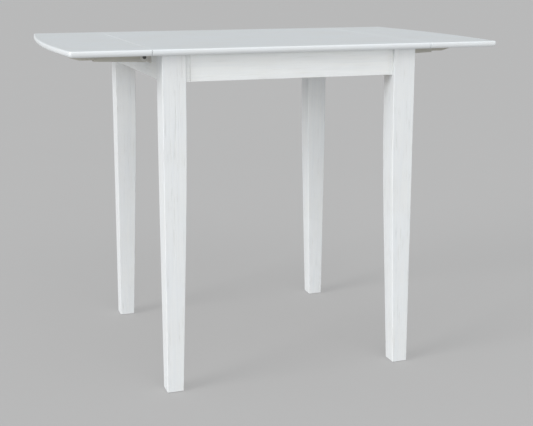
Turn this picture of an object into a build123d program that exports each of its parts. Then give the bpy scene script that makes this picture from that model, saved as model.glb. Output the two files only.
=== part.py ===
from build123d import *
from math import atan, tan
import os

# Drop leaf table, counter height, with one bow-ended leaf at each end.
# Millimetres. X runs from leaf to leaf, Y from front (-) to back (+), Z up.
# The origin is on the floor under the middle of the top.

# ---- driving dimensions -------------------------------------------------
HEIGHT = 914.4  # floor to the top surface
TOP_THICK = 16.0
CENTRE_LENGTH = 764.0  # fixed centre board, seam to seam
DEPTH = 750.0
LEAF_CORNER_X = 585.0  # where the bowed end starts, from the middle
LEAF_MIDDLE_X = 609.6  # furthest point of the bowed end
LEAF_CORNER_R = 7.0
SEAM_GAP = 1.2
SEAM_CHAMFER = 0.5
EDGE_TOP_R = 4.5
EDGE_BOTTOM_R = 9.5

LEG_SPAN_X = 704.0  # over the outer faces of the legs
LEG_SPAN_Y = 688.0
LEG_TOP_W = 62.0
LEG_FOOT_W = 44.0
KNEE_TOP_Z = 790.0  # the inner faces start to curve inwards here
KNEE_DROP = 360.0  # height of the curved stretch
LEG_EDGE_R = 1.6
FOOT_CHAMFER = 1.0
LEG_CORNER_CUT = 12.0  # flat for the hanger bolts

APRON_THICK = 20.0
APRON_BOTTOM_Z = 827.0
APRON_SETBACK = 8.0
APRON_REVEAL_W = 13.0  # stepped strip at each end of an apron
APRON_REVEAL_DEEP = 4.0
APRON_EDGE_R = 2.0
STRIP_CHAMFER = 1.0  # lower edges of the cleats and corner blocks

GLIDE_R = 10.0
GLIDE_THICK = 2.0
GLIDE_CHAMFER = 0.6
NAIL_R = 1.25
NAIL_TOP_Z = 14.0

HINGE_YS = (-250.0, 0.0, 250.0)
HINGE_FLAP = 34.0
HINGE_WIDTH = 50.0
HINGE_THICK = 2.0
HINGE_PIN_DROP = 4.0  # hinge axis below the underside of the top
BARREL_R = 3.7
PIN_R = 1.6
RUNNING_FIT = 0.05
MIDDLE_KNUCKLE = 16.0
KNUCKLE_GAP = 0.3
FLAP_RELIEF = 4.6  # flap edge to the axis where the other flap's knuckle turns
LEAD_OVERLAP = 3.0  # knuckle strip let into its flap
FLAP_CORNER_R = 2.0

ARM_Y = 161.0  # middle of each support arm
ARM_WIDTH = 28.0
ARM_PIVOT_X = 360.0
ARM_PIVOT_DROP = 19.0  # pivot below the underside of the top
ARM_ROOT_DEEP = 32.0
ARM_STEP_X = 494.0
ARM_STEP_DEEP = 27.5
ARM_TIP_DEEP = 24.0
ARM_TIP_WIDTH = 16.0
ARM_BEVEL_X = 530.0
ARM_END_X = 556.0
ARM_END_DEEP = 17.0
ARM_TOP_GAP = 0.2
ARM_CHAMFER = 1.2
ARM_SHOULDER = 5.0  # flat top starts this far past the pivot
ARM_TIP_OVERLAP = 20.0  # tip tongue let into the body
PIVOT_R = 3.0

BRACKET_THICK = 2.0
BRACKET_SIDE_GAP = 0.3
BRACKET_FLANGE = 13.0
BRACKET_HALF_H = 15.0
CHEEK_R = 11.0
PLATE_CORNER_R = 3.0

BLOCK_THICK = 25.0
BLOCK_BOTTOM_Z = 833.0
BLOCK_HEIGHT = 58.0
BLOCK_LEG_GAP = 1.0
BOLT_R = 4.0
BOLT_ZS = (847.0, 877.0)
BOLT_IN_LEG = 34.0

CLEAT = 18.0
CLEAT_FRONT_LENGTH = 400.0
CLEAT_SIDE_LENGTH = 360.0

SCREW_R = 2.0
BLOCK_SCREW_HEAD_R = 4.0
PLATE_SCREW_HEAD_R = 3.8
PLATE_HOLE_R = 2.3  # holes in the hinge flaps and brackets
PLATE_HOLE_SINK_R = 4.1
PLATE_HOLE_SINK = 1.8
HINGE_SCREW_OUT = 21.0  # from the hinge axis
HINGE_SCREW_SPREAD = 15.0  # each side of the flap's middle

# ---- worked out from them ----------------------------------------------
UNDER_Z = HEIGHT - TOP_THICK
SEAM_X = CENTRE_LENGTH / 2
HINGE_X = SEAM_X + SEAM_GAP / 2
LEG_X = LEG_SPAN_X / 2
LEG_Y = LEG_SPAN_Y / 2
APRON_X = LEG_X - APRON_SETBACK  # outer face of the side aprons
APRON_Y = LEG_Y - APRON_SETBACK  # outer face of the front and back aprons
INNER_X = APRON_X - APRON_THICK
INNER_Y = APRON_Y - APRON_THICK
HINGE_Z = UNDER_Z - HINGE_PIN_DROP
PIVOT_Z = UNDER_Z - ARM_PIVOT_DROP
BRACKET_HALF_W = ARM_WIDTH / 2 + BRACKET_SIDE_GAP
BLOCK_OUTER = (LEG_X - LEG_TOP_W) + (LEG_Y - LEG_TOP_W) - BLOCK_LEG_GAP
BLOCK_INNER = BLOCK_OUTER - BLOCK_THICK * 2 ** 0.5

BOTTOM = (Align.CENTER, Align.CENTER, Align.MIN)
SIDES = {"left": -1, "right": 1}
ENDS = {"front": -1, "back": 1}
PARTS_DIR = "parts"

os.makedirs(PARTS_DIR, exist_ok=True)


def save(piece, name):
    piece.part.label = name
    export_step(piece.part, f"{PARTS_DIR}/{name}.step")


def screw_group(name, points, direction, length, shank_r, head_r):
    """Countersunk wood screws; each point is the middle of a head's flat face."""
    places = [Plane(origin=p, z_dir=direction(p)).location for p in points]
    head_h = head_r - shank_r
    with BuildPart() as screws:
        with Locations(*places):
            Cylinder(shank_r, length, align=BOTTOM)
            Cone(head_r, shank_r, head_h, align=BOTTOM)
            Cone(shank_r * 0.7, shank_r * 0.2, head_h, align=BOTTOM, mode=Mode.SUBTRACT)
    save(screws, name)


# ---- top ----------------------------------------------------------------
def make_centre_top():
    with BuildPart() as board:
        with BuildSketch(Plane.XY.offset(UNDER_Z)):
            Rectangle(CENTRE_LENGTH, DEPTH)
        extrude(amount=TOP_THICK)
        long_edges = board.edges().filter_by(Axis.X)
        fillet(long_edges.group_by(Axis.Z)[-1], EDGE_TOP_R)
        fillet(board.edges().filter_by(Axis.X).group_by(Axis.Z)[0], EDGE_BOTTOM_R)
        chamfer(board.edges().filter_by(Axis.Y).group_by(Axis.Z)[-1], SEAM_CHAMFER)
    save(board, "centre_top")


def make_leaf(side, s):
    seam = s * (SEAM_X + SEAM_GAP)
    corner = s * LEAF_CORNER_X
    half = DEPTH / 2
    near_seam = SEAM_X + 10

    def outer(edge):
        return abs(edge.center().X) > near_seam

    with BuildPart() as board:
        with BuildSketch(Plane.XY.offset(UNDER_Z)) as outline:
            with BuildLine():
                Polyline((corner, -half), (seam, -half), (seam, half), (corner, half))
                ThreePointArc((corner, half), (s * LEAF_MIDDLE_X, 0), (corner, -half))
            make_face()
            corners = outline.vertices().filter_by(lambda v: abs(v.X) > near_seam)
            fillet(corners, LEAF_CORNER_R)
        extrude(amount=TOP_THICK)
        fillet(board.edges().group_by(Axis.Z)[-1].filter_by(outer), EDGE_TOP_R)
        fillet(board.edges().group_by(Axis.Z)[0].filter_by(outer), EDGE_BOTTOM_R)
        seam_edges = board.edges().filter_by(Axis.Y).filter_by(lambda e: not outer(e))
        chamfer(seam_edges.group_by(Axis.Z)[-1], SEAM_CHAMFER)
    save(board, f"{side}_leaf")


# ---- frame --------------------------------------------------------------
def leg_points(sign, outer):
    """Side view of a leg: inner face straight, curved, then tapered; outer face plumb."""
    slope = atan((LEG_TOP_W - LEG_FOOT_W) / (KNEE_TOP_Z - KNEE_DROP / 2))
    knee_w = LEG_TOP_W - KNEE_DROP * tan(slope / 2)
    knee_z = KNEE_TOP_Z - KNEE_DROP
    foot_w = knee_w - (knee_z - GLIDE_THICK) * tan(slope)
    inner = [(LEG_TOP_W, UNDER_Z), (LEG_TOP_W, KNEE_TOP_Z), (knee_w, knee_z), (foot_w, GLIDE_THICK)]
    plumb = [(0, GLIDE_THICK), (0, UNDER_Z)]
    return [(sign * (outer - width), z) for width, z in inner + plumb]


def make_leg(end, side, s, t):
    views = ((Plane.XZ, s, LEG_X, Mode.ADD), (Plane.YZ, t, LEG_Y, Mode.INTERSECT))
    corner_x = s * (LEG_X - LEG_TOP_W)
    corner_y = t * (LEG_Y - LEG_TOP_W)
    cut = LEG_CORNER_CUT
    with BuildPart() as leg:
        for plane, sign, outer, mode in views:
            top_in, knee_in, knee_out, foot_in, foot_out, top_out = leg_points(sign, outer)
            with BuildSketch(plane):
                with BuildLine():
                    Line(top_in, knee_in)
                    TangentArc(knee_in, knee_out, tangent=(0, -1))
                    Polyline(knee_out, foot_in, foot_out, top_out, top_in)
                make_face()
            extrude(amount=LEG_SPAN_X, both=True, mode=mode)
        upright = leg.edges().filter_by(lambda e: e.bounding_box().size.Z > KNEE_DROP / 2)
        fillet(upright, LEG_EDGE_R)
        chamfer(leg.faces().sort_by(Axis.Z)[0].edges(), FOOT_CHAMFER)
        with BuildSketch(Plane.XY.offset(BLOCK_BOTTOM_Z)):
            with BuildLine():
                Polyline(
                    (corner_x - s, corner_y - t),
                    (corner_x + s * cut, corner_y - t),
                    (corner_x - s, corner_y + t * cut),
                    close=True,
                )
            make_face()
        extrude(amount=UNDER_Z - BLOCK_BOTTOM_Z, mode=Mode.SUBTRACT)
    save(leg, f"{end}_{side}_leg")


def make_glide(end, side, s, t):
    place = (s * (LEG_X - LEG_FOOT_W / 2), t * (LEG_Y - LEG_FOOT_W / 2), 0)
    with BuildPart() as glide:
        with Locations(place):
            Cylinder(GLIDE_R, GLIDE_THICK, align=BOTTOM)
            Cylinder(NAIL_R, NAIL_TOP_Z, align=BOTTOM)
        chamfer(glide.faces().sort_by(Axis.Z)[0].edges(), GLIDE_CHAMFER)
    save(glide, f"{end}_{side}_glide")


def make_long_apron(name, t):
    """Front or back rail, between the legs along X."""
    length = LEG_SPAN_X - 2 * LEG_TOP_W
    face = t * (APRON_Y - APRON_THICK / 2)
    strip_x = length / 2 - APRON_REVEAL_W / 2
    strip_y = t * (APRON_Y - APRON_REVEAL_DEEP / 2)
    height = UNDER_Z - APRON_BOTTOM_Z
    with BuildPart() as apron:
        with BuildSketch(Plane.XY.offset(APRON_BOTTOM_Z)):
            with Locations((0, face)):
                Rectangle(length, APRON_THICK)
            with Locations((strip_x, strip_y), (-strip_x, strip_y)):
                Rectangle(APRON_REVEAL_W, APRON_REVEAL_DEEP, mode=Mode.SUBTRACT)
        extrude(amount=height)
        low = apron.edges().filter_by(Axis.X).group_by(Axis.Z)[0]
        fillet(low.filter_by(lambda e: abs(e.center().Y) > APRON_Y - 1), APRON_EDGE_R)
    save(apron, name)


def make_side_apron(name, s):
    """Left or right rail, between the legs along Y."""
    length = LEG_SPAN_Y - 2 * LEG_TOP_W
    face = s * (APRON_X - APRON_THICK / 2)
    strip_y = length / 2 - APRON_REVEAL_W / 2
    strip_x = s * (APRON_X - APRON_REVEAL_DEEP / 2)
    height = UNDER_Z - APRON_BOTTOM_Z
    with BuildPart() as apron:
        with BuildSketch(Plane.XY.offset(APRON_BOTTOM_Z)):
            with Locations((face, 0)):
                Rectangle(APRON_THICK, length)
            with Locations((strip_x, strip_y), (strip_x, -strip_y)):
                Rectangle(APRON_REVEAL_DEEP, APRON_REVEAL_W, mode=Mode.SUBTRACT)
        extrude(amount=height)
        low = apron.edges().filter_by(Axis.Y).group_by(Axis.Z)[0]
        fillet(low.filter_by(lambda e: abs(e.center().X) > APRON_X - 1), APRON_EDGE_R)
    save(apron, name)


def bolt_axis(s, t, along, z):
    """Plane on a hanger bolt's axis; along is the distance from the block's inner face."""
    lean = (LEG_X - LEG_Y) / 2
    middle = BLOCK_INNER / 2 + along / 2 ** 0.5
    return Plane(origin=(s * (middle + lean), t * (middle - lean), z), z_dir=(s, t, 0))


def make_corner_block(end, side, s, t):
    corners = [
        (s * INNER_X, t * (BLOCK_OUTER - INNER_X)),
        (s * (BLOCK_OUTER - INNER_Y), t * INNER_Y),
        (s * (BLOCK_INNER - INNER_Y), t * INNER_Y),
        (s * INNER_X, t * (BLOCK_INNER - INNER_X)),
    ]
    with BuildPart() as block:
        with BuildSketch(Plane.XY.offset(BLOCK_BOTTOM_Z)):
            Polygon(*corners, align=None)
        extrude(amount=BLOCK_HEIGHT)
        chamfer(block.faces().sort_by(Axis.Z)[0].edges(), STRIP_CHAMFER)
        for z in BOLT_ZS:
            with Locations(bolt_axis(s, t, -1, z).location):
                Cylinder(BOLT_R + 0.5, BLOCK_THICK + 2, align=BOTTOM, mode=Mode.SUBTRACT)
    save(block, f"{end}_{side}_corner_block")


def make_hanger_hardware():
    washer_r = 11.0
    washer_t = 1.6
    nut_flats = 13.0
    nut_t = 6.5
    tail = washer_t + nut_t + 3.0
    reach = BLOCK_THICK + (LEG_CORNER_CUT + BLOCK_LEG_GAP) / 2 ** 0.5 + BOLT_IN_LEG
    corners = [(s, t, z) for s in (-1, 1) for t in (-1, 1) for z in BOLT_ZS]
    with BuildPart() as bolts:
        for s, t, z in corners:
            with Locations(bolt_axis(s, t, -tail, z).location):
                Cylinder(BOLT_R, tail + reach, align=BOTTOM)
    save(bolts, "hanger_bolts")
    with BuildPart() as washers:
        for s, t, z in corners:
            with Locations(bolt_axis(s, t, -washer_t, z).location):
                Cylinder(washer_r, washer_t, align=BOTTOM)
                Cylinder(BOLT_R + 0.3, washer_t, align=BOTTOM, mode=Mode.SUBTRACT)
    save(washers, "hanger_washers")
    with BuildPart() as nuts:
        for s, t, z in corners:
            with BuildSketch(bolt_axis(s, t, -washer_t - nut_t, z)):
                RegularPolygon(nut_flats / 2, 6, major_radius=False)
                Circle(BOLT_R + RUNNING_FIT, mode=Mode.SUBTRACT)
            extrude(amount=nut_t)
    save(nuts, "hanger_nuts")


def make_block_screws():
    inset = 16.0
    sunk = 2.0
    along_x = (INNER_X - sunk, BLOCK_INNER - INNER_X + inset)
    along_y = (BLOCK_INNER - INNER_Y + inset, INNER_Y - sunk)
    points = []
    for s in (-1, 1):
        for t in (-1, 1):
            for z in BOLT_ZS:
                points.append((s * (along_x[0] - inset), t * along_x[1], z))
                points.append((s * along_y[0], t * (along_y[1] - inset), z))

    def outward(p):
        if abs(p[0]) - INNER_X > abs(p[1]) - INNER_Y:
            return (p[0], 0, 0)
        return (0, p[1], 0)

    length = inset + 14.0
    screw_group("corner_block_screws", points, outward, length, SCREW_R, BLOCK_SCREW_HEAD_R)


def make_cleats():
    """Square strips inside the aprons; the top is screwed down through them."""
    z = UNDER_Z - CLEAT
    plan = {
        "front_cleat": (0, -(INNER_Y - CLEAT / 2), CLEAT_FRONT_LENGTH, CLEAT),
        "back_cleat": (0, INNER_Y - CLEAT / 2, CLEAT_FRONT_LENGTH, CLEAT),
        "left_cleat": (-(INNER_X - CLEAT / 2), 0, CLEAT, CLEAT_SIDE_LENGTH),
        "right_cleat": (INNER_X - CLEAT / 2, 0, CLEAT, CLEAT_SIDE_LENGTH),
    }
    for name, (x, y, size_x, size_y) in plan.items():
        with BuildPart() as cleat:
            with BuildSketch(Plane.XY.offset(z)):
                with Locations((x, y)):
                    Rectangle(size_x, size_y)
            extrude(amount=CLEAT)
            chamfer(cleat.faces().sort_by(Axis.Z)[0].edges(), STRIP_CHAMFER)
        save(cleat, name)


def make_cleat_screws():
    front_xs = (-170.0, 0.0, 170.0)
    side_ys = (-150.0, 0.0, 150.0)
    offset = 25.0
    low = UNDER_Z - CLEAT
    mid_y = INNER_Y - CLEAT / 2
    mid_x = INNER_X - CLEAT / 2
    up = [(x, t * mid_y, low) for x in front_xs for t in (-1, 1)]
    up += [(s * mid_x, y, low) for y in side_ys for s in (-1, 1)]
    screw_group("top_screws", up, lambda p: (0, 0, 1), CLEAT + 10.0, SCREW_R, BLOCK_SCREW_HEAD_R)
    z = UNDER_Z - CLEAT / 2
    out = [(x + offset, t * (INNER_Y - CLEAT), z) for x in front_xs for t in (-1, 1)]
    out += [(s * (INNER_X - CLEAT), y + offset, z) for y in side_ys for s in (-1, 1)]

    def outward(p):
        if abs(abs(p[0]) - (INNER_X - CLEAT)) < 0.5:
            return (p[0], 0, 0)
        return (0, p[1], 0)

    screw_group("cleat_screws", out, outward, CLEAT + 12.0, SCREW_R, BLOCK_SCREW_HEAD_R)


# ---- leaf hinges --------------------------------------------------------
def barrel(s, y, length, radius, mode=Mode.ADD):
    with Locations(Plane(origin=(s * HINGE_X, y - length / 2, HINGE_Z), z_dir=(0, 1, 0)).location):
        Cylinder(radius, length, align=BOTTOM, mode=mode)


def make_hinge_flaps(side, s, moving):
    """One flap of each hinge on a side, with its knuckles and countersunk holes."""
    out = s if moving else -s
    own = MIDDLE_KNUCKLE if moving else (HINGE_WIDTH - MIDDLE_KNUCKLE) / 2 - KNUCKLE_GAP
    shift = 0.0 if moving else (HINGE_WIDTH - own) / 2
    knuckles = (0.0,) if moving else (-shift, shift)
    flap_x = s * HINGE_X + out * (FLAP_RELIEF + HINGE_FLAP) / 2
    wide = HINGE_FLAP - FLAP_RELIEF
    strip = FLAP_RELIEF + LEAD_OVERLAP
    base = Plane.XY.offset(UNDER_Z - HINGE_THICK)
    screw_x = s * HINGE_X + out * HINGE_SCREW_OUT
    screw_length = 13.0
    spread = (-HINGE_SCREW_SPREAD, HINGE_SCREW_SPREAD)
    heads = [(screw_x, y + dy, UNDER_Z - HINGE_THICK) for y in HINGE_YS for dy in spread]
    with BuildPart() as flaps:
        for y in HINGE_YS:
            with BuildSketch(base):
                with Locations((flap_x, y)):
                    RectangleRounded(wide, HINGE_WIDTH, FLAP_CORNER_R)
            extrude(amount=HINGE_THICK)
            for k in knuckles:
                with BuildSketch(base):
                    with Locations((s * HINGE_X + out * strip / 2, y + k)):
                        Rectangle(strip, own)
                extrude(amount=HINGE_THICK)
                barrel(s, y + k, own, BARREL_R)
                barrel(s, y + k, own, PIN_R + RUNNING_FIT, mode=Mode.SUBTRACT)
        with Locations(*heads):
            Cylinder(PLATE_HOLE_R, HINGE_THICK, align=BOTTOM, mode=Mode.SUBTRACT)
            Cone(PLATE_HOLE_SINK_R, PLATE_HOLE_R, PLATE_HOLE_SINK, align=BOTTOM, mode=Mode.SUBTRACT)
    kind = "leaf" if moving else "fixed"
    save(flaps, f"{side}_hinge_{kind}_flaps")
    name = f"{side}_hinge_{kind}_screws"
    screw_group(name, heads, lambda p: (0, 0, 1), screw_length, SCREW_R, PLATE_SCREW_HEAD_R)


def make_hinge_pins(side, s):
    with BuildPart() as pins:
        for y in HINGE_YS:
            barrel(s, y, HINGE_WIDTH, PIN_R)
    save(pins, f"{side}_hinge_pins")


# ---- leaf supports ------------------------------------------------------
def make_arm(side, end, s, t):
    """Folding support: heel round the pivot, tapered body, narrow bevelled tip."""
    y = t * ARM_Y
    top = UNDER_Z - ARM_TOP_GAP
    heel_r = ARM_ROOT_DEEP - ARM_PIVOT_DROP
    shoulder = ARM_PIVOT_X + ARM_SHOULDER
    tongue = ARM_STEP_X - ARM_TIP_OVERLAP
    plane = Plane.XZ.offset(-y)
    with BuildPart() as arm:
        with BuildSketch(plane):
            with BuildLine():
                Polyline(
                    (s * shoulder, top),
                    (s * ARM_STEP_X, top),
                    (s * ARM_STEP_X, UNDER_Z - ARM_STEP_DEEP),
                    (s * ARM_PIVOT_X, UNDER_Z - ARM_ROOT_DEEP),
                    (s * ARM_PIVOT_X, PIVOT_Z + heel_r),
                    close=True,
                )
            make_face()
            with Locations((s * ARM_PIVOT_X, PIVOT_Z)):
                Circle(heel_r)
        extrude(amount=ARM_WIDTH / 2, both=True)
        sides = arm.faces().sort_by(Axis.Y)
        chamfer(sides[0].edges() + sides[-1].edges(), ARM_CHAMFER)
        with BuildSketch(plane):
            with BuildLine():
                Polyline(
                    (s * tongue, top),
                    (s * ARM_END_X, top),
                    (s * ARM_END_X, UNDER_Z - ARM_END_DEEP),
                    (s * ARM_BEVEL_X, UNDER_Z - ARM_TIP_DEEP),
                    (s * tongue, UNDER_Z - ARM_TIP_DEEP),
                    close=True,
                )
            make_face()
        extrude(amount=ARM_TIP_WIDTH / 2, both=True)
        tip_end = arm.faces().sort_by(Axis.X)[0 if s < 0 else -1]
        chamfer(tip_end.edges(), ARM_CHAMFER)
        with BuildSketch(plane):
            with Locations((s * ARM_PIVOT_X, PIVOT_Z)):
                Circle(PIVOT_R + RUNNING_FIT)
        extrude(amount=ARM_WIDTH, both=True, mode=Mode.SUBTRACT)
    save(arm, f"{side}_{end}_arm")


def make_bracket(side, end, s, t):
    """Folded steel clevis on the outer face of a side apron."""
    y = t * ARM_Y
    plate_w = 2 * (BRACKET_HALF_W + BRACKET_THICK + BRACKET_FLANGE)
    front = APRON_X + BRACKET_THICK
    with BuildPart() as bracket:
        with BuildSketch(Plane(origin=(s * APRON_X, y, PIVOT_Z), z_dir=(s, 0, 0), x_dir=(0, 1, 0))):
            RectangleRounded(plate_w, 2 * BRACKET_HALF_H, PLATE_CORNER_R)
        extrude(amount=BRACKET_THICK)
        for d in (-1, 1):
            inside = y + d * BRACKET_HALF_W
            with BuildSketch(Plane(origin=(0, inside, 0), x_dir=(1, 0, 0), z_dir=(0, d, 0))):
                with Locations((s * (front + ARM_PIVOT_X) / 2, -d * PIVOT_Z)):
                    Rectangle(ARM_PIVOT_X - front + BRACKET_THICK, 2 * CHEEK_R)
                with Locations((s * ARM_PIVOT_X, -d * PIVOT_Z)):
                    Circle(CHEEK_R)
                    Circle(PIVOT_R + RUNNING_FIT, mode=Mode.SUBTRACT)
            extrude(amount=BRACKET_THICK)
        for d in (-1, 1):
            hole_y = y + d * (BRACKET_HALF_W + BRACKET_THICK + BRACKET_FLANGE / 2)
            hole = Plane(origin=(s * front, hole_y, PIVOT_Z), z_dir=(-s, 0, 0))
            with Locations(hole.location):
                Cylinder(PLATE_HOLE_R, BRACKET_THICK, align=BOTTOM, mode=Mode.SUBTRACT)
                Cone(PLATE_HOLE_SINK_R, PLATE_HOLE_R, PLATE_HOLE_SINK, align=BOTTOM, mode=Mode.SUBTRACT)
    save(bracket, f"{side}_{end}_bracket")


def make_pivot_pin(side, end, s, t):
    head_r = 5.0
    head_t = 1.5
    rim_r = 0.8
    half = BRACKET_HALF_W + BRACKET_THICK
    start = t * ARM_Y - half - head_t
    with BuildPart() as pin:
        with Locations(Plane(origin=(s * ARM_PIVOT_X, start, PIVOT_Z), z_dir=(0, 1, 0)).location):
            Cylinder(head_r, head_t, align=BOTTOM)
            Cylinder(PIVOT_R, 2 * (half + head_t), align=BOTTOM)
        end_place = Plane(origin=(s * ARM_PIVOT_X, t * ARM_Y + half, PIVOT_Z), z_dir=(0, 1, 0))
        with Locations(end_place.location):
            Cylinder(head_r, head_t, align=BOTTOM)
        rims = pin.edges().filter_by(GeomType.CIRCLE).sort_by(Axis.Y)
        fillet([rims[0], rims[-1]], rim_r)
    save(pin, f"{side}_{end}_pivot_pin")


def make_bracket_screws():
    flange_mid = BRACKET_HALF_W + BRACKET_THICK + BRACKET_FLANGE / 2
    x = APRON_X + BRACKET_THICK
    points = [
        (s * x, t * ARM_Y + d * flange_mid, PIVOT_Z)
        for s in (-1, 1)
        for t in (-1, 1)
        for d in (-1, 1)
    ]
    length = 17.0
    screw_group("bracket_screws", points, lambda p: (-p[0], 0, 0), length, SCREW_R, PLATE_SCREW_HEAD_R)


# ---- build --------------------------------------------------------------
make_centre_top()
make_long_apron("front_apron", -1)
make_long_apron("back_apron", 1)
make_side_apron("left_apron", -1)
make_side_apron("right_apron", 1)
for side, s in SIDES.items():
    make_leaf(side, s)
    make_hinge_flaps(side, s, moving=False)
    make_hinge_flaps(side, s, moving=True)
    make_hinge_pins(side, s)
    for end, t in ENDS.items():
        make_leg(end, side, s, t)
        make_glide(end, side, s, t)
        make_corner_block(end, side, s, t)
        make_arm(side, end, s, t)
        make_bracket(side, end, s, t)
        make_pivot_pin(side, end, s, t)
make_hanger_hardware()
make_block_screws()
make_cleats()
make_cleat_screws()
make_bracket_screws()
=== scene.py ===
import math

import bpy
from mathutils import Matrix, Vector

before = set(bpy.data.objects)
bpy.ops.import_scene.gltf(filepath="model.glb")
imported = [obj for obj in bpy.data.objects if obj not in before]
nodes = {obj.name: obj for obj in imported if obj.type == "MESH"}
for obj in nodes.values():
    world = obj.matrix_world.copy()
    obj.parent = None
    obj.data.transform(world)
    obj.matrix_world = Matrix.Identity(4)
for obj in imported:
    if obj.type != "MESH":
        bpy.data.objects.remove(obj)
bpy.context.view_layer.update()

# ---- colours (linear) ----------------------------------------------------
TOP_PAINT = (0.790, 0.820, 0.838)
LEG_PAINT = (0.805, 0.826, 0.836)
APRON_PAINT = (0.870, 0.890, 0.890)
# the support arms' off-white paint is darkened to grey-brown here: painted shade standing in for the shadow
# under the leaf
SUPPORT_PAINT_WITH_PAINTED_SHADE = (0.48, 0.46, 0.40)
CREAM = (0.74, 0.70, 0.62)
COOL = (0.66, 0.70, 0.75)
RAW_LIGHT = (0.62, 0.45, 0.28)
RAW_DARK = (0.42, 0.27, 0.14)
FLOOR_GREY = (0.226, 0.222, 0.220)
FLOOR_GLOW = (0.285, 0.285, 0.285)  # lifts the shadow under the table

# ---- pattern sizes: waves per metre, and mix strengths ---------------------
STRETCH = 0.03  # grain is this much slower along the wood than across it
AXIS_SCALE = {
    "X": (STRETCH, 1.0, 1.0),
    "Y": (1.0, STRETCH, 1.0),
    "Z": (1.0, 1.0, STRETCH),
}
EVEN = (1.0, 1.0, 1.0)
FINE_GRAIN = 900.0
BROAD_GRAIN = 160.0
GROOVES = 420.0
CLOUDS = 9.0
CLOUD_TINT = 0.14
GROOVE_DARK = 0.72  # share of the cream tone at the bottom of a groove
GROOVE_ROUGH = 0.12
RUB_DARK = 0.9
PAINT_EDGE = 0.0016  # width of the worn line along an edge
METAL_EDGE = 0.0005
RINGS = 55.0
FIBRES = 700.0
RAW_GRAIN_DEPTH = 0.0004


# ---- node helpers ----------------------------------------------------------
class Shader:
    """A small wrapper that adds nodes and links them in one line each."""

    def __init__(self, name):
        self.mat = bpy.data.materials.new(name)
        self.mat.use_nodes = True
        self.tree = self.mat.node_tree
        self.bsdf = self.tree.nodes["Principled BSDF"]

    def add(self, kind, **values):
        node = self.tree.nodes.new(kind)
        for key, value in values.items():
            setattr(node, key, value)
        return node

    def link(self, source, target):
        self.tree.links.new(source, target)

    def coords(self, scale):
        """Object coordinates in metres, stretched so that grain runs along one axis."""
        place = self.add("ShaderNodeTexCoord")
        mapping = self.add("ShaderNodeMapping")
        mapping.inputs["Scale"].default_value = scale
        self.link(place.outputs["Object"], mapping.inputs["Vector"])
        return mapping.outputs["Vector"]

    def noise(self, vector, scale, detail=4.0, roughness=0.55, distortion=0.0):
        node = self.add("ShaderNodeTexNoise")
        node.inputs["Scale"].default_value = scale
        node.inputs["Detail"].default_value = detail
        node.inputs["Roughness"].default_value = roughness
        node.inputs["Distortion"].default_value = distortion
        self.link(vector, node.inputs["Vector"])
        return node.outputs["Fac"]

    def ramp(self, value, low, high, start=0.0, end=1.0):
        """Map low..high to start..end, clamped."""
        node = self.add("ShaderNodeMapRange")
        node.inputs["From Min"].default_value = low
        node.inputs["From Max"].default_value = high
        node.inputs["To Min"].default_value = start
        node.inputs["To Max"].default_value = end
        self.link(value, node.inputs["Value"])
        return node.outputs["Result"]

    def math(self, operation, a, b):
        node = self.add("ShaderNodeMath", operation=operation)
        for socket, value in zip(node.inputs, (a, b)):
            if isinstance(value, (int, float)):
                socket.default_value = value
            else:
                self.link(value, socket)
        return node.outputs[0]

    def mix(self, factor, a, b):
        node = self.add("ShaderNodeMix", data_type="RGBA", blend_type="MIX")
        self.link(factor, node.inputs["Factor"])
        for socket, value in ((node.inputs[6], a), (node.inputs[7], b)):
            if isinstance(value, tuple):
                socket.default_value = (*value, 1.0)
            else:
                self.link(value, socket)
        return node.outputs[2]

    def edge_mask(self, radius):
        """1 near a hard edge, 0 on the flats."""
        bevel = self.add("ShaderNodeBevel", samples=4)
        bevel.inputs["Radius"].default_value = radius
        geometry = self.add("ShaderNodeNewGeometry")
        dot = self.add("ShaderNodeVectorMath", operation="DOT_PRODUCT")
        self.link(bevel.outputs["Normal"], dot.inputs[0])
        self.link(geometry.outputs["Normal"], dot.inputs[1])
        return self.ramp(dot.outputs["Value"], 0.995, 0.85)

    def bump(self, height, distance):
        node = self.add("ShaderNodeBump")
        node.inputs["Distance"].default_value = distance
        node.inputs["Strength"].default_value = 1.0
        self.link(height, node.inputs["Height"])
        return node.outputs["Normal"]

    def finish(self, color, normal, roughness):
        self.link(color, self.bsdf.inputs["Base Color"])
        self.link(normal, self.bsdf.inputs["Normal"])
        self.link(roughness, self.bsdf.inputs["Roughness"])
        return self.mat


def shade(colour, share):
    """The colour made darker or lighter, with no channel above full."""
    return tuple(min(1.0, share * channel) for channel in colour)


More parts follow.
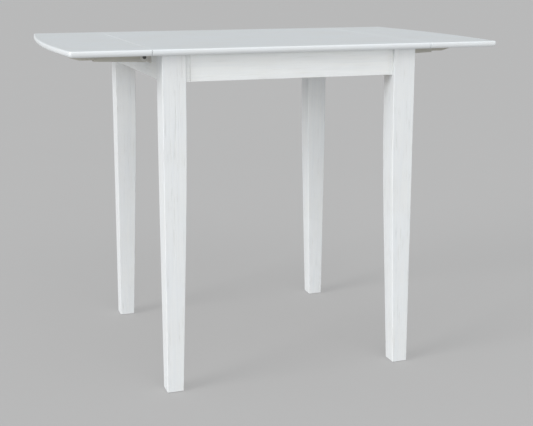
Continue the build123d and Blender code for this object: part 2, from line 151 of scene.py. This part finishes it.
# ---- materials -------------------------------------------------------------
def painted_wood(name, paint, axis, streaks, pores, gloss, wear, grain_depth):
    """Off-white paint over wire-brushed wood; the grain runs along one axis."""
    s = Shader(name)
    along = s.coords(AXIS_SCALE[axis])
    plain = s.coords(EVEN)
    fine = s.noise(along, FINE_GRAIN, detail=5.0, roughness=0.6)
    broad = s.noise(along, BROAD_GRAIN, detail=4.0, roughness=0.55, distortion=0.2)
    cloud = s.noise(plain, CLOUDS, detail=3.0)
    tint = s.mix(s.ramp(cloud, 0.35, 0.68, 0.0, CLOUD_TINT), paint, CREAM)
    tint = s.mix(s.ramp(broad, 0.42, 0.66, 0.0, streaks), tint, COOL)
    tint = s.mix(s.ramp(fine, 0.56, 0.74, 0.0, streaks), tint, CREAM)
    groove = s.ramp(s.noise(along, GROOVES, detail=3.0, roughness=0.5), 0.63, 0.72)
    tint = s.mix(s.math("MULTIPLY", groove, pores), tint, shade(CREAM, GROOVE_DARK))
    rub = s.math("MULTIPLY", s.edge_mask(PAINT_EDGE), s.ramp(cloud, 0.45, 0.62, 0.0, wear))
    tint = s.mix(rub, tint, shade(CREAM, RUB_DARK))
    height = s.math("SUBTRACT", s.math("ADD", s.math("MULTIPLY", fine, 0.5), broad), groove)
    normal = s.bump(height, grain_depth)
    sheen = s.ramp(broad, 0.3, 0.7, gloss - 0.05, gloss + 0.07)
    rough = s.math("ADD", sheen, s.math("MULTIPLY", groove, GROOVE_ROUGH))
    s.bsdf.inputs["Specular IOR Level"].default_value = 0.4
    s.bsdf.inputs["Coat Weight"].default_value = 0.08
    s.bsdf.inputs["Coat Roughness"].default_value = 0.35
    return s.finish(tint, normal, rough)


def raw_wood(name, axis):
    """Unpainted hardwood, as inside the frame."""
    s = Shader(name)
    along = s.coords(AXIS_SCALE[axis])
    rings = s.noise(along, RINGS, detail=6.0, roughness=0.6, distortion=0.6)
    fibre = s.noise(along, FIBRES, detail=4.0)
    tint = s.mix(s.ramp(rings, 0.3, 0.7), RAW_DARK, RAW_LIGHT)
    tint = s.mix(s.ramp(fibre, 0.5, 0.75, 0.0, 0.45), tint, RAW_DARK)
    normal = s.bump(s.math("ADD", rings, fibre), RAW_GRAIN_DEPTH)
    return s.finish(tint, normal, s.ramp(fibre, 0.3, 0.7, 0.55, 0.75))


def metal(name, color, dark, gloss, metallic, scratch):
    """Plated or painted steel with fine scratches and a little tarnish."""
    s = Shader(name)
    plain = s.coords(EVEN)
    brushed = s.noise(s.coords((1, 0.05, 1)), 1500.0, detail=3.0)
    patches = s.noise(plain, 120.0, detail=5.0, roughness=0.6)
    tint = s.mix(s.ramp(patches, 0.45, 0.7, 0.0, 0.6), color, dark)
    rub = s.math("MULTIPLY", s.edge_mask(METAL_EDGE), 0.5)
    tint = s.mix(rub, tint, shade(color, 1.25))
    normal = s.bump(s.math("ADD", brushed, patches), scratch)
    s.bsdf.inputs["Metallic"].default_value = metallic
    return s.finish(tint, normal, s.ramp(brushed, 0.3, 0.7, gloss - 0.06, gloss + 0.1))


def nylon(name):
    s = Shader(name)
    grain = s.noise(s.coords(EVEN), 1800.0, detail=2.0)
    scuff = s.noise(s.coords((1, 0.2, 1)), 300.0, detail=5.0)
    tint = s.mix(s.ramp(scuff, 0.5, 0.75, 0.0, 0.6), (0.72, 0.71, 0.67), (0.45, 0.43, 0.40))
    s.bsdf.inputs["Subsurface Weight"].default_value = 0.05
    return s.finish(tint, s.bump(grain, 0.0002), s.ramp(scuff, 0.3, 0.7, 0.4, 0.6))


def studio_floor(name):
    s = Shader(name)
    speck = s.noise(s.coords(EVEN), 2.0, detail=3.0)
    tint = s.mix(s.ramp(speck, 0.3, 0.7, 0.0, 1.0), FLOOR_GREY, shade(FLOOR_GREY, 0.99))
    s.bsdf.inputs["Specular IOR Level"].default_value = 0.0
    s.bsdf.inputs["Emission Color"].default_value = (*FLOOR_GLOW, 1.0)
    s.bsdf.inputs["Emission Strength"].default_value = 1.0
    return s.finish(tint, s.bump(speck, 0.0001), s.ramp(speck, 0.0, 1.0, 0.9, 1.0))


# how strong the streaks, pores and wear are, how glossy the paint, how deep the grain in metres
TOP_FINISH = {"streaks": 0.10, "pores": 0.10, "gloss": 0.36, "wear": 0.25, "grain_depth": 0.00012}
LEG_FINISH = {"streaks": 0.20, "pores": 0.22, "gloss": 0.50, "wear": 0.50, "grain_depth": 0.00045}
RAIL_FINISH = {"streaks": 0.16, "pores": 0.20, "gloss": 0.46, "wear": 0.45, "grain_depth": 0.00025}
SUPPORT_FINISH = {"streaks": 0.30, "pores": 0.45, "gloss": 0.58, "wear": 0.60, "grain_depth": 0.0004}

TOP = painted_wood("top_paint", TOP_PAINT, "X", **TOP_FINISH)
LEG = painted_wood("leg_paint", LEG_PAINT, "Z", **LEG_FINISH)
RAIL_X = painted_wood("long_apron_paint", APRON_PAINT, "X", **RAIL_FINISH)
RAIL_Y = painted_wood("side_apron_paint", APRON_PAINT, "Y", **RAIL_FINISH)
# the arms get the darkened grey-brown colour, which is painted shade from the leaf above, not their own
# paint
SUPPORT = painted_wood("support_paint_with_painted_shade", SUPPORT_PAINT_WITH_PAINTED_SHADE, "X", **SUPPORT_FINISH)
RAW_X = raw_wood("raw_wood_x", "X")
RAW_Y = raw_wood("raw_wood_y", "Y")
RAW_BLOCK = raw_wood("raw_wood_block", "Z")
HINGE = metal(
    "hinge_zinc", (0.60, 0.60, 0.58), (0.38, 0.38, 0.37),
    gloss=0.34, metallic=1.0, scratch=0.0001,
)
BRACKET = metal(
    "bracket_white", (0.62, 0.61, 0.58), (0.50, 0.48, 0.44),
    gloss=0.42, metallic=0.0, scratch=0.0001,
)
PIN = metal(
    "pin_black", (0.085, 0.083, 0.080), (0.14, 0.13, 0.12),
    gloss=0.45, metallic=0.5, scratch=0.0001,
)
ZINC = metal(
    "screw_zinc", (0.66, 0.66, 0.63), (0.42, 0.41, 0.38),
    gloss=0.28, metallic=1.0, scratch=0.00006,
)
NYLON = nylon("glide_nylon")


def material_for(name):
    """The finish of a CAD node, from what the node's name says it is."""
    kinds = [
        (("centre_top", "_leaf"), TOP),
        (("_leg",), LEG),
        (("front_apron", "back_apron"), RAIL_X),
        (("_apron",), RAIL_Y),
        (("front_cleat", "back_cleat"), RAW_X),
        (("_cleat",), RAW_Y),
        (("_corner_block",), RAW_BLOCK),
        (("_arm",), SUPPORT),
        (("_glide",), NYLON),
        (("_flaps", "_hinge_pins"), HINGE),
        (("_bracket",), BRACKET),
        (("_pivot_pin",), PIN),
    ]
    for endings, material in kinds:
        if name.endswith(endings):
            return material
    return ZINC


for name, obj in nodes.items():
    obj.data.materials.clear()
    obj.data.materials.append(material_for(name))


# ---- stage -----------------------------------------------------------------
FLOOR_HALF = 90.0
bpy.ops.mesh.primitive_plane_add(size=2 * FLOOR_HALF, location=(0, 0, 0))
floor = bpy.context.object
floor.name = "studio_floor"
floor.data.materials.append(studio_floor("floor_paint"))

# ---- light -----------------------------------------------------------------
SKY = 0.39
NEUTRAL = (1.0, 1.0, 1.0)
SKY_TINT = (0.985, 1.0, 1.01)
OVERHEAD_TINT = (0.92, 1.0, 1.05)
# name, azimuth from the front towards the left, elevation, share of full light, softness in degrees, colour
SUNS = (
    ("key", 76.0, 20.0, 0.60, 30.0, NEUTRAL),
    ("low_fill", 15.0, 5.0, 0.33, 30.0, NEUTRAL),
    ("front_soft", -5.0, 40.0, 0.12, 40.0, NEUTRAL),
    ("overhead", 20.0, 74.0, 0.21, 80.0, OVERHEAD_TINT),
)

world = bpy.data.worlds.new("studio")
bpy.context.scene.world = world
world.use_nodes = True
background = world.node_tree.nodes["Background"]
background.inputs["Color"].default_value = (*SKY_TINT, 1.0)
background.inputs["Strength"].default_value = SKY

for name, azimuth, elevation, share, softness, colour in SUNS:
    sun_data = bpy.data.lights.new(name, "SUN")
    sun_data.energy = share * math.pi
    sun_data.color = colour
    sun_data.angle = math.radians(softness)
    sun = bpy.data.objects.new(name, sun_data)
    bpy.context.collection.objects.link(sun)
    around = math.radians(azimuth)
    up = math.radians(elevation)
    towards = Vector((
        -math.sin(around) * math.cos(up),
        -math.cos(around) * math.cos(up),
        math.sin(up),
    ))
    sun.rotation_euler = towards.to_track_quat("Z", "Y").to_euler()

# ---- camera ----------------------------------------------------------------
CAMERA_PLACE = (-0.9194, -2.7528, 1.1034)
CAMERA_YAW = math.radians(18.732)  # to the right of straight ahead
CAMERA_PITCH = math.radians(10.808)  # downwards
SENSOR = 36.0
LENS = 66.76
SHIFT_RIGHT = 0.0182
SHIFT_DOWN = 0.10
camera_data = bpy.data.cameras.new("camera")
camera_data.sensor_width = SENSOR
camera_data.lens = LENS
camera_data.shift_x = SHIFT_RIGHT
camera_data.shift_y = -SHIFT_DOWN
camera = bpy.data.objects.new("camera", camera_data)
bpy.context.collection.objects.link(camera)
camera.location = CAMERA_PLACE
camera.rotation_euler = (math.radians(90) - CAMERA_PITCH, 0.0, -CAMERA_YAW)
bpy.context.scene.camera = camera

view = bpy.context.scene.view_settings
view.view_transform = "Standard"
view.look = "None"
